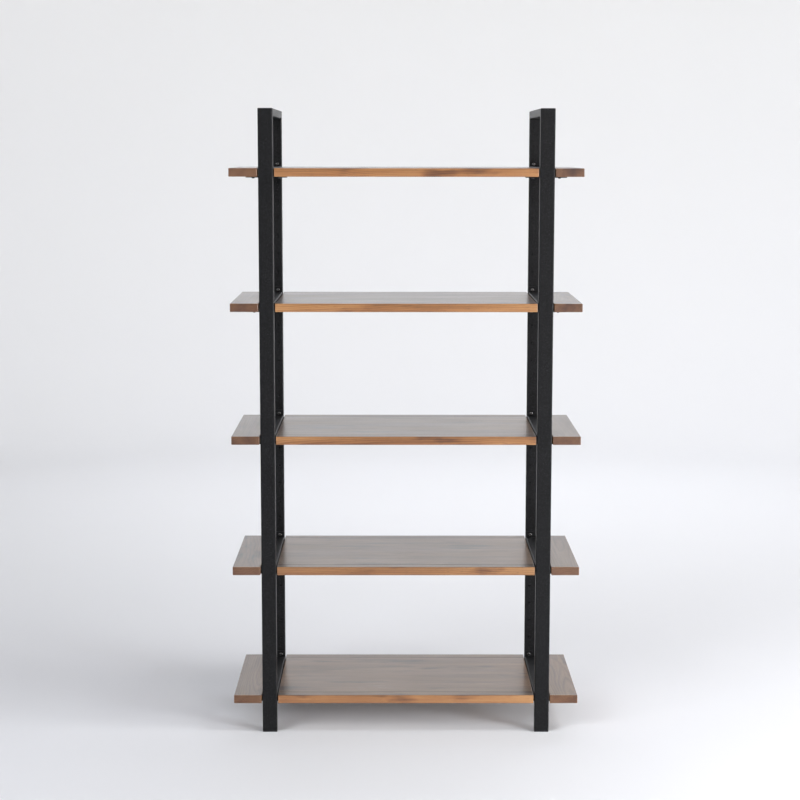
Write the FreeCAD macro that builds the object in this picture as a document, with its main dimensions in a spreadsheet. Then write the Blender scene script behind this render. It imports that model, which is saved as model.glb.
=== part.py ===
"""Open bookcase: two steel loop frames and five wooden shelves that hang at any of a row of heights.

Each frame is a front post, a rear post and a top rail, welded at mitred corners. A shelf is a centre
panel between the frames, with an edge strip front and back, and a wing board outside each frame. Two
crossbars carry the boards on hanger brackets, and each bracket hooks over a stud in a post.

Frame of reference: X runs along the shelves, Y from front to back, Z up. The origin is on the floor,
in the middle of the footprint.
"""
import FreeCAD, Part
import math
import os
import re
import Sketcher

SHELF_COUNT = 5
SIDES = {"left": -1, "right": 1}
ENDS = {"front": -1, "rear": 1}
RIGHT = FreeCAD.Vector(1, 0, 0)
BACK = FreeCAD.Vector(0, 1, 0)
UP = FreeCAD.Vector(0, 0, 1)
TUBE_AXIS = {"XY_Plane": UP, "XZ_Plane": BACK}
TINY = 1e-6
LEAST_CUT = 1e-3

# alias, millimetres (or a plain count), what it is
DIMENSIONS = [
    ("OverallHeight", 1800, "floor to the top of the frames"),
    ("ShelfLength", 1000, "tip to tip of a shelf"),
    ("ShelfDepth", 450, "front to back of a shelf and of a frame"),
    ("BoardThickness", 24, "all the boards of a shelf"),
    ("FrameSpread", 834, "outside to outside of the two frames"),
    ("TubeWidth", 42, "post and rail, along X"),
    ("TubeDepth", 22, "post along Y, rail along Z"),
    ("TubeWall", 2, "wall of every tube"),
    ("TubeCorner", 3, "outer corner radius of every tube"),
    ("FootFlange", 3, "foot cap below the post"),
    ("FootPlug", 16, "foot cap inside the post"),
    ("FootPlay", 0.3, "plug to tube wall, each side"),
    ("HolePitch", 54.4, "hole to hole up a post"),
    ("HoleCount", 31, "holes in a post"),
    ("HoleDiameter", 6, "stud hole"),
    ("LowestHole", 118, "floor to the lowest hole's centre"),
    ("BayHoles", 7, "hole pitches from shelf to shelf"),
    ("StudRise", 8, "shelf top to the stud's centre"),
    ("StudOffset", 8, "middle of a post to its studs, towards the bay"),
    ("StudShank", 5.9, "stud diameter in the hole"),
    ("StudReach", 10, "stud length behind the face"),
    ("StudNeck", 7, "stud diameter under the head"),
    ("StudHead", 10, "head diameter"),
    ("HeadThick", 3, "head thickness"),
    ("HeadRound", 1.6, "rounding of the head's rim"),
    ("SocketWidth", 4, "hexagon socket, across flats"),
    ("SocketDepth", 1.8, "hexagon socket depth"),
    ("BracketSheet", 3, "bracket sheet thickness"),
    ("BracketPlay", 0.5, "bracket to post, and bracket to stud head"),
    ("TabWidth", 24, "bracket's upright tab"),
    ("TabRise", 18, "top of the tab above the shelf top"),
    ("SlotPlay", 0.3, "stud to slot, each side"),
    ("BearerLength", 116, "bracket's bearer under the boards, along X"),
    ("BearerWidth", 30, "bracket's bearer, along Y"),
    ("BearerInset", 35, "shelf edge to the bearer"),
    ("BendRadius", 3, "inside of the bracket's bend"),
    ("CrossbarProud", 1, "crossbar above the shelf top"),
    ("CrossbarSetback", 8, "post face to the crossbar's end"),
    ("BoardGap", 3, "frame to board"),
    ("StripWidth", 35, "edge strip of the centre panel"),
    ("BoardRound", 1.2, "rounded edges of the boards"),
    ("ScrewSpread", 76, "screw to screw on a bracket"),
    ("ScrewShank", 4.4, "wood screw diameter"),
    ("ScrewLength", 18, "wood screw in the board"),
    ("ScrewHead", 9, "wood screw head diameter"),
    ("ScrewHeadThick", 2.5, "wood screw head thickness"),
    ("ScrewHole", 5, "clearance hole in the bracket"),
    ("PilotHole", 4.5, "hole in the board"),
    ("Overcut", 1, "how far a cut runs past what it removes"),
]

doc = FreeCAD.newDocument("Bookcase")
sheet = doc.addObject("Spreadsheet::Sheet", "Sizes")
kept = []


def fill_sheet():
    """Write the driving dimensions, one row each, and name their cells."""
    for row, (alias, value, meaning) in enumerate(DIMENSIONS, start=1):
        sheet.set(f"A{row}", str(value))
        sheet.setAlias(f"A{row}", alias)
        sheet.set(f"B{row}", meaning)
    doc.recompute()


def bound(formula):
    """Prefix every alias in a formula with the sheet's name."""
    aliases = "|".join(alias for alias, _, _ in DIMENSIONS)
    return re.sub(rf"\b({aliases})\b", r"Sizes.\1", formula)


def value_of(formula):
    """Work out a formula of aliases as a number."""
    return float(sheet.evalExpression(bound(formula)))


def place(thing, x="0", y="0", z="0", turn=0):
    """Bind an object's position to the sheet, turned about Z by a number of degrees."""
    thing.Placement.Rotation = FreeCAD.Rotation(UP, turn)
    for axis, formula in (("x", x), ("y", y), ("z", z)):
        thing.setExpression(f"Placement.Base.{axis}", bound(formula))


def new_body(label):
    """Start a body that carries a sub-part's name."""
    body = doc.addObject("PartDesign::Body", label)
    body.Label = label
    return body


def origin_feature(body, role):
    """Find one of a body's own origin planes or axes."""
    return next(item for item in body.Origin.OriginFeatures if item.Role == role)


def new_sketch(body, role, offset="0"):
    """Attach an empty sketch to an origin plane, moved along the plane's normal."""
    sketch = body.newObject("Sketcher::SketchObject", "Sketch")
    sketch.AttachmentSupport = [(origin_feature(body, role), "")]
    sketch.MapMode = "FlatFace"
    sketch.setExpression("AttachmentOffset.Base.z", bound(offset))
    return sketch


def bind_point(sketch, geometry, corner, x, y):
    """Hold a point of the sketch at two formulas."""
    for kind, formula in (("DistanceX", x), ("DistanceY", y)):
        index = sketch.addConstraint(
            Sketcher.Constraint(kind, -1, 1, geometry, corner, value_of(formula)))
        sketch.setExpression(f"Constraints[{index}]", bound(formula))


def draw_outline(sketch, points):
    """Draw a closed outline of straight lines through points given as pairs of formulas."""
    corners = [FreeCAD.Vector(value_of(x), value_of(y), 0) for x, y in points]
    first = sketch.GeometryCount
    count = len(corners)
    for number, corner in enumerate(corners):
        sketch.addGeometry(Part.LineSegment(corner, corners[(number + 1) % count]), False)
    for number, (x, y) in enumerate(points):
        after = first + (number + 1) % count
        sketch.addConstraint(Sketcher.Constraint("Coincident", first + number, 2, after, 1))
        bind_point(sketch, first + number, 1, x, y)


def draw_box(sketch, low_x, low_y, high_x, high_y):
    """Draw a rectangle between two corners."""
    draw_outline(sketch, [(low_x, low_y), (high_x, low_y), (high_x, high_y), (low_x, high_y)])


def draw_circle(sketch, x, y, diameter):
    """Draw a circle with its centre and diameter held."""
    centre = FreeCAD.Vector(value_of(x), value_of(y), 0)
    circle = Part.Circle(centre, UP, value_of(diameter) / 2)
    number = sketch.addGeometry(circle, False)
    bind_point(sketch, number, 3, x, y)
    index = sketch.addConstraint(
        Sketcher.Constraint("Diameter", number, value_of(diameter)))
    sketch.setExpression(f"Constraints[{index}]", bound(diameter))


def pad(body, sketch, length):
    """Pad a sketch along its normal."""
    feature = body.newObject("PartDesign::Pad", "Pad")
    feature.Profile = sketch
    feature.setExpression("Length", bound(length))
    doc.recompute()
    return feature


def pocket(body, sketch, length):
    """Cut a sketch into the body along its normal, and make sure that it removes something."""
    before = body.Shape.Volume
    feature = body.newObject("PartDesign::Pocket", "Pocket")
    feature.Profile = sketch
    feature.Reversed = True
    feature.setExpression("Length", bound(length))
    doc.recompute()
    if body.Shape.Volume > before - LEAST_CUT:
        raise RuntimeError(f"{body.Label}: a pocket cuts nothing")
    return feature


def round_edges(body, chosen, radius):
    """Fillet the edges of the body's tip that a test picks."""
    tip = body.Tip
    names = [f"Edge{number}" for number, edge in enumerate(tip.Shape.Edges, start=1) if chosen(edge)]
    if not names:
        raise RuntimeError(f"{body.Label}: no edge to round")
    fillet = body.newObject("PartDesign::Fillet", "Fillet")
    fillet.Base = (tip, names)
    fillet.setExpression("Radius", bound(radius))
    doc.recompute()


def is_along(edge, axis):
    """Tell whether an edge is straight and parallel to an axis."""
    if not isinstance(edge.Curve, Part.Line):
        return False
    return abs(abs(edge.Curve.Direction.dot(axis)) - 1) < TINY


def long_corners(shape, axis, inset):
    """Tell edges along an axis that stand the same inset in from two sides of the shape's box."""
    box = shape.BoundBox

    def chosen(edge):
        """Measure the edge's middle against the two sides across the axis."""
        if not is_along(edge, axis):
            return False
        lows = (box.XMin, box.YMin, box.ZMin)
        highs = (box.XMax, box.YMax, box.ZMax)
        spans = zip(edge.CenterOfMass, lows, highs, axis)
        across = [(at, low, high) for at, low, high, along in spans if not along]
        return all(abs(min(at - low, high - at) - inset) < TINY for at, low, high in across)

    return chosen


def pad_tube(body, role, width, depth, length):
    """Pad a hollow rectangular tube from one corner, then round its long corners."""
    sketch = new_sketch(body, role)
    draw_box(sketch, "0", "0", width, depth)
    draw_box(sketch, "TubeWall", "TubeWall", f"{width} - TubeWall", f"{depth} - TubeWall")
    feature = pad(body, sketch, length)
    axis = TUBE_AXIS[role]
    round_edges(body, long_corners(feature.Shape, axis, 0), "TubeCorner")
    bore = long_corners(feature.Shape, axis, value_of("TubeWall"))
    round_edges(body, bore, "TubeCorner - TubeWall")


def revolve(body, role, points):
    """Turn a profile of (radius, height) formulas about the sketch's upright axis."""
    sketch = new_sketch(body, role)
    draw_outline(sketch, points)
    feature = body.newObject("PartDesign::Revolution", "Revolution")
    feature.Profile = sketch
    feature.ReferenceAxis = (sketch, ["V_Axis"])
    feature.Angle = 360
    doc.recompute()


def cut_socket(body, role, offset):
    """Cut a hexagon socket into a screw's head."""
    corner = 1 / math.sqrt(3)
    sketch = new_sketch(body, role, offset)
    turns = [math.radians(60 * number) for number in range(6)]
    draw_outline(
        sketch,
        [(f"SocketWidth * {corner * math.cos(turn):.6f}", f"SocketWidth * {corner * math.sin(turn):.6f}")
         for turn in turns])
    pocket(body, sketch, "SocketDepth")


def keep(thing):
    """Mark an object as a sub-part to export."""
    kept.append(thing)


def frame_corner(side):
    """Give the low X edge of the frame on one side."""
    return "-FrameSpread / 2" if side < 0 else "FrameSpread / 2 - TubeWidth"


def frame_middle(side):
    """Give the X of the middle of the frame on one side."""
    return f"{side} * (FrameSpread / 2 - TubeWidth / 2)"


def hand_of(side, end):
    """Give 1 or -1, the way to the bay along the X of a piece placed at one of the four posts."""
    return side * end


def place_at_post(thing, side, end, z):
    """Place a piece made for a front post, and turn it half round for a rear post."""
    if end < 0:
        place(thing, frame_corner(side), "-ShelfDepth / 2", z)
    else:
        place(thing, f"{frame_corner(side)} + TubeWidth", "ShelfDepth / 2", z, turn=180)


def place_at_face(thing, side, end, z, x="0", y="0"):
    """Place a piece measured from the middle of a post's inner face, turned to look into the bay."""
    place(
        thing,
        f"{frame_middle(side)} + {x}",
        f"{end} * (ShelfDepth / 2 - TubeDepth - {y})",
        z,
        turn=0 if end < 0 else 180)


def shelf_top(number):
    """Give the height of a shelf's top, counted from the lowest shelf."""
    return f"LowestHole - StudRise + {number - 1} * BayHoles * HolePitch"


def make_post(label, side, end):
    """Make a post: a tube, mitred at the top, with a row of stud holes in its inner face."""
    body = new_body(label)
    pad_tube(body, "XY_Plane", "TubeWidth", "TubeDepth", "OverallHeight - FootFlange")
    mitre = new_sketch(body, "YZ_Plane")
    top = "OverallHeight - FootFlange"
    draw_outline(mitre, [
        ("-Overcut", f"{top} + Overcut"),
        ("TubeDepth + Overcut", f"{top} - TubeDepth - Overcut"),
        ("TubeDepth + Overcut", f"{top} + Overcut")])
    pocket(body, mitre, "TubeWidth")
    hole = new_sketch(body, "XZ_Plane", "-TubeDepth")
    row = f"TubeWidth / 2 + {hand_of(side, end)} * StudOffset"
    draw_circle(hole, row, "LowestHole - FootFlange", "HoleDiameter")
    drilled = pocket(body, hole, "TubeWall + Overcut")
    repeat_up(body, drilled)
    place_at_post(body, side, end, "FootFlange")
    keep(body)


def repeat_up(body, feature):
    """Repeat a post's lowest hole up the whole row."""
    before = body.Shape.Volume
    pattern = body.newObject("PartDesign::LinearPattern", "HoleRow")
    pattern.Originals = [feature]
    pattern.Direction = (origin_feature(body, "Z_Axis"), [""])
    pattern.setExpression("Length", bound("(HoleCount - 1) * HolePitch"))
    pattern.setExpression("Occurrences", bound("HoleCount"))
    body.Tip = pattern
    doc.recompute()
    if body.Shape.Volume > before - LEAST_CUT:
        raise RuntimeError(f"{body.Label}: the hole row cuts nothing")


def make_top_rail(label, side):
    """Make a top rail: a tube from front to back, mitred at both ends."""
    body = new_body(label)
    pad_tube(body, "XZ_Plane", "TubeWidth", "TubeDepth", "ShelfDepth")
    rear = ("Overcut", "-TubeDepth - Overcut")
    front = ("-ShelfDepth - Overcut", "-ShelfDepth + TubeDepth + Overcut")
    for outer, inner in (rear, front):
        mitre = new_sketch(body, "YZ_Plane")
        draw_outline(mitre, [(outer, "TubeDepth + Overcut"), (inner, "-Overcut"), (outer, "-Overcut")])
        pocket(body, mitre, "TubeWidth")
    place(body, frame_corner(side), "ShelfDepth / 2", "OverallHeight - TubeDepth")
    keep(body)


def make_foot_cap(label, side, end):
    """Make a foot cap: a flange under the post and a plug inside it."""
    body = new_body(label)
    flange = new_sketch(body, "XY_Plane")
    draw_box(flange, "0", "0", "TubeWidth", "TubeDepth")
    base = pad(body, flange, "FootFlange")
    round_edges(body, long_corners(base.Shape, UP, 0), "TubeCorner")
    plug = new_sketch(body, "XY_Plane", "FootFlange")
    inset = "TubeWall + FootPlay"
    draw_box(plug, inset, inset, "TubeWidth - TubeWall - FootPlay", "TubeDepth - TubeWall - FootPlay")
    pad(body, plug, "FootPlug")
    place_at_post(body, side, end, "0")
    keep(body)


def make_stud():
    """Make the stud that every bracket hooks over, along Y from the face of the post."""
    body = new_body("stud_master")
    neck = "(BracketSheet + 2 * BracketPlay)"
    revolve(body, "XY_Plane", [
        ("0", "-StudReach"),
        ("StudShank / 2", "-StudReach"),
        ("StudShank / 2", "0"),
        ("StudNeck / 2", "0"),
        ("StudNeck / 2", neck),
        ("StudHead / 2", neck),
        ("StudHead / 2", f"{neck} + HeadThick"),
        ("0", f"{neck} + HeadThick")])
    face = value_of(f"{neck} + HeadThick")
    round_edges(body, lambda edge: abs(edge.CenterOfMass.y - face) < TINY, "HeadRound")
    cut_socket(body, "XZ_Plane", f"-{neck} - HeadThick")
    return body


def make_bracket(hand):
    """Make a hanger bracket: a bearer under the boards, bent up into a tab with a hook slot.

    Its origin is on the post's inner face, at the height of the shelf top, and Y points into the bay.
    The tab stands off the post's middle by the stud's offset, along X one way or the other.
    """
    body = new_body("bracket_master")
    under = "-BoardThickness - BracketSheet"
    near = "BearerInset - TubeDepth"
    middle = f"{hand} * StudOffset"
    tab_low = f"{middle} - TabWidth / 2"
    tab_high = f"{middle} + TabWidth / 2"
    plate = new_sketch(body, "XY_Plane", under)
    draw_outline(plate, [
        (tab_low, "BracketPlay"),
        (tab_high, "BracketPlay"),
        (tab_high, near),
        ("BearerLength / 2", near),
        ("BearerLength / 2", f"{near} + BearerWidth"),
        ("-BearerLength / 2", f"{near} + BearerWidth"),
        ("-BearerLength / 2", near),
        (tab_low, near)])
    pad(body, plate, "BracketSheet")
    tab = new_sketch(body, "XZ_Plane", "-BracketPlay - BracketSheet")
    draw_box(tab, tab_low, under, tab_high, "TabRise")
    pad(body, tab, "BracketSheet")
    shape_bracket(body)
    cut_hook_slot(body, middle, under)
    holes = new_sketch(body, "XY_Plane", under)
    for way in SIDES.values():
        draw_circle(holes, f"{way} * ScrewSpread / 2", f"{near} + BearerWidth / 2", "ScrewHole")
    pocket(body, holes, "BracketSheet")
    return body


def shape_bracket(body):
    """Round the bracket's bend, inside and out, and the top corners of its tab."""
    inside = (value_of("BracketPlay + BracketSheet"), value_of("-BoardThickness"))
    outside = (value_of("BracketPlay"), value_of("-BoardThickness - BracketSheet"))
    for (y, z), radius in ((inside, "BendRadius"), (outside, "BendRadius + BracketSheet")):
        def at_bend(edge, y=y, z=z):
            """Tell the edge across the bracket at this corner of the bend."""
            point = edge.CenterOfMass
            return is_along(edge, RIGHT) and abs(point.y - y) < TINY and abs(point.z - z) < TINY
        round_edges(body, at_bend, radius)
    rise = value_of("TabRise")
    round_edges(
        body, lambda edge: is_along(edge, BACK) and abs(edge.CenterOfMass.z - rise) < TINY, "BendRadius")


def cut_hook_slot(body, middle, under):
    """Cut the slot that drops over a stud's neck, and the notch that lets its head pass."""
    behind = "-BracketPlay - BracketSheet"
    half = "(StudNeck / 2 + SlotPlay)"
    eye = new_sketch(body, "XZ_Plane", behind)
    draw_circle(eye, middle, "StudRise", f"2 * {half}")
    pocket(body, eye, "BracketSheet")
    slot = new_sketch(body, "XZ_Plane", behind)
    draw_box(slot, f"{middle} - {half}", f"{under} - Overcut", f"{middle} + {half}", "StudRise")
    pocket(body, slot, "BracketSheet")
    notch = new_sketch(body, "XY_Plane", under)
    wide = "(StudHead / 2 + BracketPlay)"
    draw_box(
        notch, f"{middle} - {wide}", "BracketPlay + BracketSheet", f"{middle} + {wide}", "CrossbarSetback")
    pocket(body, notch, "BracketSheet + BendRadius")


def make_screw():
    """Make the wood screw, head down, with its seat at the origin."""
    body = new_body("screw_master")
    revolve(body, "XZ_Plane", [
        ("0", "-ScrewHeadThick"),
        ("ScrewHead / 3", "-ScrewHeadThick"),
        ("ScrewHead / 2", "-ScrewHeadThick / 3"),
        ("ScrewHead / 2", "0"),
        ("ScrewShank / 2", "0"),
        ("ScrewShank / 2", "BracketSheet + ScrewLength - ScrewShank"),
        ("0", "BracketSheet + ScrewLength")])
    cut_socket(body, "XY_Plane", "-ScrewHeadThick")
    return body


def make_group(label, places):
    """Group copies of master pieces as one node, each placed by a function of its own."""
    copies = []
    for master, put in places:
        copy = doc.addObject("App::Link", f"{label}_copy")
        copy.LinkedObject = master
        put(copy)
        copies.append(copy)
    group = doc.addObject("Part::Compound", label)
    group.Label = label
    group.Links = copies
    doc.recompute()
    return group


def make_board(label, length, depth, corner, z, rounded, pilots=()):
    """Make a board from its low corner, round the chosen edges and drill its pilot holes from below."""
    body = new_body(label)
    outline = new_sketch(body, "XY_Plane")
    draw_box(outline, "0", "0", length, depth)
    base = pad(body, outline, "BoardThickness")
    if rounded:
        round_edges(body, lambda edge: rounded(edge, base.Shape.BoundBox), "BoardRound")
    if pilots:
        holes = new_sketch(body, "XY_Plane")
        for x, y in pilots:
            draw_circle(holes, x, y, "PilotHole")
        pocket(body, holes, "ScrewLength + Overcut")
    place(body, corner[0], corner[1], z)
    keep(body)


def front_edges(edge, box):
    """Tell the long front edges of a board."""
    return is_along(edge, RIGHT) and abs(edge.CenterOfMass.y - box.YMin) < TINY


def rear_edges(edge, box):
    """Tell the long rear edges of a board."""
    return is_along(edge, RIGHT) and abs(edge.CenterOfMass.y - box.YMax) < TINY


def level_edges(edge, _box):
    """Tell the edges that run level, round the top and the bottom of a board."""
    return not is_along(edge, UP)


def make_boards(name, number):
    """Make a shelf's centre panel, its two edge strips and its two wing boards."""
    low = f"{shelf_top(number)} - BoardThickness"
    length = "FrameSpread - 2 * TubeWidth - 2 * BoardGap"
    left = "-FrameSpread / 2 + TubeWidth + BoardGap"
    front = "-ShelfDepth / 2"
    back = "ShelfDepth / 2"
    row_in = "(BearerInset + BearerWidth / 2)"
    side_in = "(ScrewSpread / 2 - TubeWidth / 2 - BoardGap)"
    panel_rows = (f"{row_in} - StripWidth", f"ShelfDepth - {row_in} - StripWidth")
    panel_pilots = [(x, y) for x in (side_in, f"{length} - {side_in}") for y in panel_rows]
    make_board(
        f"{name}_centre_panel", length, "ShelfDepth - 2 * StripWidth",
        (left, f"{front} + StripWidth"), low, None, panel_pilots)
    make_board(f"{name}_front_strip", length, "StripWidth", (left, front), low, front_edges)
    make_board(f"{name}_rear_strip", length, "StripWidth", (left, f"{back} - StripWidth"), low, rear_edges)
    wing = "(ShelfLength / 2 - FrameSpread / 2 - BoardGap)"
    for word, side in SIDES.items():
        corner = "-ShelfLength / 2" if side < 0 else "FrameSpread / 2 + BoardGap"
        x = f"{wing} - {side_in}" if side < 0 else side_in
        pilots = [(x, y) for y in (row_in, f"ShelfDepth - {row_in}")]
        make_board(f"{name}_{word}_wing", wing, "ShelfDepth", (corner, front), low, level_edges, pilots)


def make_crossbar(label, side, number):
    """Make the tube that carries the boards of a shelf from front to back inside one frame."""
    body = new_body(label)
    setback = "(TubeDepth + CrossbarSetback)"
    pad_tube(
        body, "XZ_Plane", "TubeWidth", "(BoardThickness + CrossbarProud)", f"ShelfDepth - 2 * {setback}")
    place(body, frame_corner(side), f"ShelfDepth / 2 - {setback}", f"{shelf_top(number)} - BoardThickness")
    keep(body)


def make_shelf(number, brackets, screw):
    """Make one shelf: boards, crossbars, hanger brackets (a master for each hand) and wood screws."""
    name = f"shelf_{number}"
    top = shelf_top(number)
    make_boards(name, number)
    for word, side in SIDES.items():
        make_crossbar(f"{name}_{word}_crossbar", side, number)
    corners = [(side, end) for side in SIDES.values() for end in ENDS.values()]
    keep(make_group(f"{name}_hanger_brackets", [
        (brackets[hand_of(side, end)],
         lambda copy, side=side, end=end: place_at_face(copy, side, end, top))
        for side, end in corners]))
    seat = f"{top} - BoardThickness - BracketSheet"
    row = "(BearerInset + BearerWidth / 2 - TubeDepth)"
    keep(make_group(f"{name}_wood_screws", [
        (screw,
         lambda copy, side=side, end=end, way=way: place_at_face(
             copy, side, end, seat, f"{way} * ScrewSpread / 2", row))
        for side, end in corners for way in SIDES.values()]))


def make_frames():
    """Make both loop frames with their foot caps and the studs that the shelves hang on."""
    stud = make_stud()
    for word, side in SIDES.items():
        for place_word, end in ENDS.items():
            make_post(f"{word}_{place_word}_post", side, end)
            make_foot_cap(f"{word}_{place_word}_foot_cap", side, end)
        make_top_rail(f"{word}_top_rail", side)
        keep(make_group(f"{word}_hanger_studs", [
            (stud,
             lambda copy, side=side, end=end, number=number: place_at_face(
                 copy, side, end, f"{shelf_top(number)} + StudRise", f"{-side} * StudOffset"))
            for number in range(1, SHELF_COUNT + 1) for end in ENDS.values()]))


def check_and_export():
    """Stop at any failed object or bad shape, then write every sub-part to its own file."""
    doc.recompute()
    for item in doc.Objects:
        if {"Invalid", "Error"} & set(item.State):
            raise RuntimeError(f"{item.Label}: {item.State}")
    for item in kept:
        if item.Shape.isNull() or not item.Shape.isValid():
            raise RuntimeError(f"{item.Label}: the shape is null or not valid")
    os.makedirs("parts", exist_ok=True)
    for item in kept:
        item.Shape.exportStep(f"parts/{item.Label}.step")
    print(len(kept), "sub-parts written")


def main():
    """Build the frames and the shelves and write every sub-part."""
    fill_sheet()
    make_frames()
    brackets = {hand: make_bracket(hand) for hand in (1, -1)}
    screw = make_screw()
    for number in range(1, SHELF_COUNT + 1):
        make_shelf(number, brackets, screw)
    check_and_export()


main()
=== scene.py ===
"""Looks of a bookcase with adjustable shelves: lacquered hardwood boards on two frames of coated tube.

Lengths are in metres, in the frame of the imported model: x runs along the shelves, y from front to back
and z up. Every place is read from the model's own parts, and every random draw has a fixed seed.
"""

import logging
import math
from dataclasses import dataclass, field
from enum import Enum
from typing import Sequence, Union

import bpy
import numpy as np
from mathutils import Matrix, Vector

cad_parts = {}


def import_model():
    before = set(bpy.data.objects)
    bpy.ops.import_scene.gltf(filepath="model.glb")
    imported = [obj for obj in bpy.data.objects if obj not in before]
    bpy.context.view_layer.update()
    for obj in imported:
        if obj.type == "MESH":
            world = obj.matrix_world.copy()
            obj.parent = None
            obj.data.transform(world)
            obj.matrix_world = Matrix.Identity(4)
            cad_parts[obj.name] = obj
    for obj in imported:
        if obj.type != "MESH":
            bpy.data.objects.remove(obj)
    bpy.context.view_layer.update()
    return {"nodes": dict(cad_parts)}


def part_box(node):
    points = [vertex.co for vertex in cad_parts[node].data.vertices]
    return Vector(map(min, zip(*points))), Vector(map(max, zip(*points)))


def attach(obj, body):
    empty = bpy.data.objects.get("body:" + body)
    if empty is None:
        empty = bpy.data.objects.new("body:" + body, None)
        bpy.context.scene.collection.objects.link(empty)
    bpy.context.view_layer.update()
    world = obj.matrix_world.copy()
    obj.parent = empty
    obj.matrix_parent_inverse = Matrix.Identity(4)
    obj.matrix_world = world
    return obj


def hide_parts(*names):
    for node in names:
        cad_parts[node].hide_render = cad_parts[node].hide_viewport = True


LOG = logging.getLogger("bookcase")
SHELF_COUNT = 5

Triple = tuple[float, float, float]
Colour = Triple
Number = Union["Field", float]
Paint = Union[bpy.types.NodeSocket, Colour]


class Field:
    """A number that varies over a surface: an output of a node tree, with arithmetic."""

    def __init__(self, nodes: "Nodes", socket: bpy.types.NodeSocket) -> None:
        """Keeps the tree and the socket that carries the number."""
        self.nodes = nodes
        self.socket = socket

    def apply(self, operation: str, *others: Number) -> "Field":
        """Puts the number through a Math node.

        Args:
            operation: The Math node's operation.
            others: What the operation takes beside this number.

        Returns:
            The result as a new field.
        """
        node = self.nodes.add("ShaderNodeMath", operation=operation)
        for slot, value in zip(node.inputs, (self, *others)):
            self.nodes.feed(slot, value)
        return Field(self.nodes, node.outputs[0])

    def __add__(self, other: Number) -> "Field":
        """Sum of this and the other."""
        return self.apply("ADD", other)

    def __sub__(self, other: Number) -> "Field":
        """This less the other."""
        return self.apply("SUBTRACT", other)

    def __mul__(self, other: Number) -> "Field":
        """Product of this and the other."""
        return self.apply("MULTIPLY", other)

    def __truediv__(self, other: Number) -> "Field":
        """This over the other."""
        return self.apply("DIVIDE", other)

    def step(self, low: float, high: float, start: float = 0.0, end: float = 1.0) -> "Field":
        """Rises smoothly from one value to another while this number goes from low to high.

        Args:
            low: Where the rise begins.
            high: Where the rise is done.
            start: The result below low.
            end: The result above high.

        Returns:
            The eased number as a new field.
        """
        node = self.nodes.add("ShaderNodeMapRange", interpolation_type="SMOOTHSTEP")
        for slot, value in zip(node.inputs, (self, low, high, start, end)):
            self.nodes.feed(slot, value)
        return Field(self.nodes, node.outputs[0])


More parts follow.
